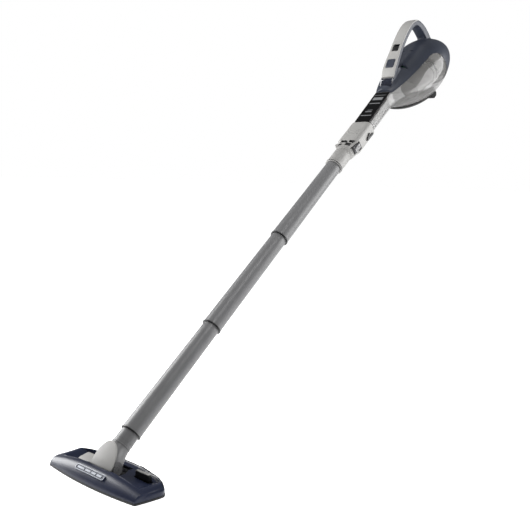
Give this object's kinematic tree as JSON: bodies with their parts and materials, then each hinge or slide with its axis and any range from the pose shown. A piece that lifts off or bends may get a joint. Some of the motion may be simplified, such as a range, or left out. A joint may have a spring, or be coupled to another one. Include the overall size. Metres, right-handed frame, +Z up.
{
  "type": "cordless stick vacuum",
  "caption": "Upright stick vacuum: slim floor head, straight sectioned wand, smoked dust bowl and a handheld motor body with a loop handle.",
  "frame": {"origin": "on the floor straight below the neck pivot, at mid width", "axes": "+Z up, +Y from the floor head's front edge back towards the handle, +X across the head; the wand leans back 50 degrees from upright in the Y-Z plane"},
  "size_m": [0.222, 0.9985, 0.8114],
  "materials": {
    "navy": "deep navy gloss moulding",
    "charcoal": "charcoal satin moulding",
    "wand_grey": "mid grey satin tube",
    "pale_grey": "pale warm grey satin",
    "smoke": "smoked clear bowl",
    "steel": "plain steel",
    "soft_rubber": "soft black rubber",
    "fibre": "pleated filter cloth",
    "green_board": "lacquered circuit board",
    "cell_wrap": "shrink-wrapped cell"
  },
  "bodies": {
    "main_body": {"body_shell_left": "navy", "body_shell_right": "navy", "body_screw_1": "steel", "body_screw_2": "steel", "body_screw_3": "steel", "body_screw_4": "steel", "handle_strip": "pale_grey", "bulkhead": "charcoal", "bulkhead_gasket": "soft_rubber", "filter_frame": "charcoal", "prefilter_cup": "fibre", "pleated_filter": "fibre", "motor_can": "steel", "motor_mount": "soft_rubber", "battery_cell_1": "cell_wrap", "battery_cell_2": "cell_wrap", "battery_holder": "charcoal", "circuit_board": "green_board", "charge_socket": "charcoal"},
    "power_slider": {"power_switch": "charcoal"},
    "boost_key": {"boost_button": "navy"},
    "release_latch": {"bowl_release": "navy"},
    "fan_rotor": {"motor_shaft": "steel", "fan_impeller": "charcoal"},
    "bowl": {"dust_bowl": "smoke", "nose_label": "charcoal", "under_skid": "charcoal", "rest_foot": "soft_rubber"},
    "flap": {"inlet_flap": "soft_rubber"},
    "nozzle": {"crevice_nozzle": "smoke"},
    "adapter": {"adapter_sleeve": "pale_grey", "adapter_side_clip": "charcoal"},
    "lock_key": {"adapter_lock_button": "charcoal"},
    "upper_tube": {"tube_upper": "wand_grey"},
    "middle_tube": {"tube_middle": "wand_grey"},
    "lower_tube": {"tube_lower": "wand_grey"},
    "neck": {"neck_boot": "wand_grey", "neck_front_plate": "pale_grey", "neck_ring": "wand_grey", "trunnion_right": "steel", "trunnion_left": "steel"},
    "floor_head": {"head_top_shell": "navy", "head_sole_plate": "charcoal", "sole_screw_1": "steel", "sole_screw_2": "steel", "suction_duct": "charcoal", "pivot_bearing_right": "wand_grey", "pivot_bearing_left": "wand_grey", "wheel_axle_right": "steel", "wheel_axle_left": "steel", "front_plaque": "charcoal"},
    "roller_right": {"wheel_right": "soft_rubber"},
    "roller_left": {"wheel_left": "soft_rubber"},
    "pedals": {"pedal_rocker": "charcoal", "pedal_left": "pale_grey", "pedal_right": "charcoal"},
    "brushes": {"brush_carriage": "charcoal", "brush_strip_front": "fibre", "brush_strip_rear": "fibre"}
  },
  "joints": [
    {"name": "power_slide", "type": "slide", "parent": "main_body", "child": "power_slider", "axis": [0, 0.4786, 0.878], "range_m": [0, 0.006]},
    {"name": "boost_press", "type": "slide", "parent": "main_body", "child": "boost_key", "axis": [0, 0.8984, -0.4393], "range_m": [0, 0.0015], "stiffness_N_per_m": 400},
    {"name": "release_slide", "type": "slide", "parent": "main_body", "child": "release_latch", "axis": [0, 0.766, 0.6428], "range_m": [0, 0.0025], "stiffness_N_per_m": 400},
    {"name": "fan_spin", "type": "hinge", "parent": "main_body", "child": "fan_rotor", "pos_m": [0, 0.89134, 0.71651], "axis": [0, 0.766, 0.6428], "continuous": true},
    {"name": "bowl_pull", "type": "slide", "parent": "main_body", "child": "bowl", "axis": [0, -0.766, -0.6428], "range_m": [0, 0.12]},
    {"name": "flap_swing", "type": "hinge", "parent": "bowl", "child": "flap", "pos_m": [0, 0.71183, 0.63298], "axis": [1, 0, 0], "range_deg": [0, 60], "stiffness_Nm_per_rad": 0.02},
    {"name": "nozzle_pull", "type": "slide", "parent": "bowl", "child": "nozzle", "axis": [0, -0.766, -0.6428], "range_m": [0, 0.07]},
    {"name": "adapter_pull", "type": "slide", "parent": "nozzle", "child": "adapter", "axis": [0, -0.766, -0.6428], "range_m": [0, 0.05]},
    {"name": "lock_press", "type": "slide", "parent": "adapter", "child": "lock_key", "axis": [-1, 0, 0], "range_m": [0, 0.0015], "stiffness_N_per_m": 400},
    {"name": "upper_tube_pull", "type": "slide", "parent": "adapter", "child": "upper_tube", "axis": [0, -0.766, -0.6428], "range_m": [0, 0.02]},
    {"name": "middle_tube_pull", "type": "slide", "parent": "upper_tube", "child": "middle_tube", "axis": [0, -0.766, -0.6428], "range_m": [0, 0.02]},
    {"name": "lower_tube_pull", "type": "slide", "parent": "middle_tube", "child": "lower_tube", "axis": [0, -0.766, -0.6428], "range_m": [0, 0.02]},
    {"name": "neck_pull", "type": "slide", "parent": "lower_tube", "child": "neck", "axis": [0, -0.766, -0.6428], "range_m": [0, 0.02]},
    {"name": "head_tilt", "type": "hinge", "parent": "neck", "child": "floor_head", "pos_m": [0, 0, 0.0208], "axis": [1, 0, 0], "range_deg": [-45, 30]},
    {"name": "roller_right_spin", "type": "hinge", "parent": "floor_head", "child": "roller_right", "pos_m": [-0.072, -0.002, 0.0035], "axis": [1, 0, 0], "continuous": true},
    {"name": "roller_left_spin", "type": "hinge", "parent": "floor_head", "child": "roller_left", "pos_m": [0.072, -0.002, 0.0035], "axis": [1, 0, 0], "continuous": true},
    {"name": "pedal_rock", "type": "hinge", "parent": "floor_head", "child": "pedals", "pos_m": [0, 0.019, 0.008], "axis": [0, 1, 0], "range_deg": [0, 2.5]},
    {"name": "brush_drop", "type": "slide", "parent": "floor_head", "child": "brushes", "axis": [0, 0, -1], "range_m": [0, 0.0027]}
  ],
  "couplings": [
    {"joint": "brush_drop", "follows": "pedal_rock", "m_per_rad": 0.06}
  ]
}
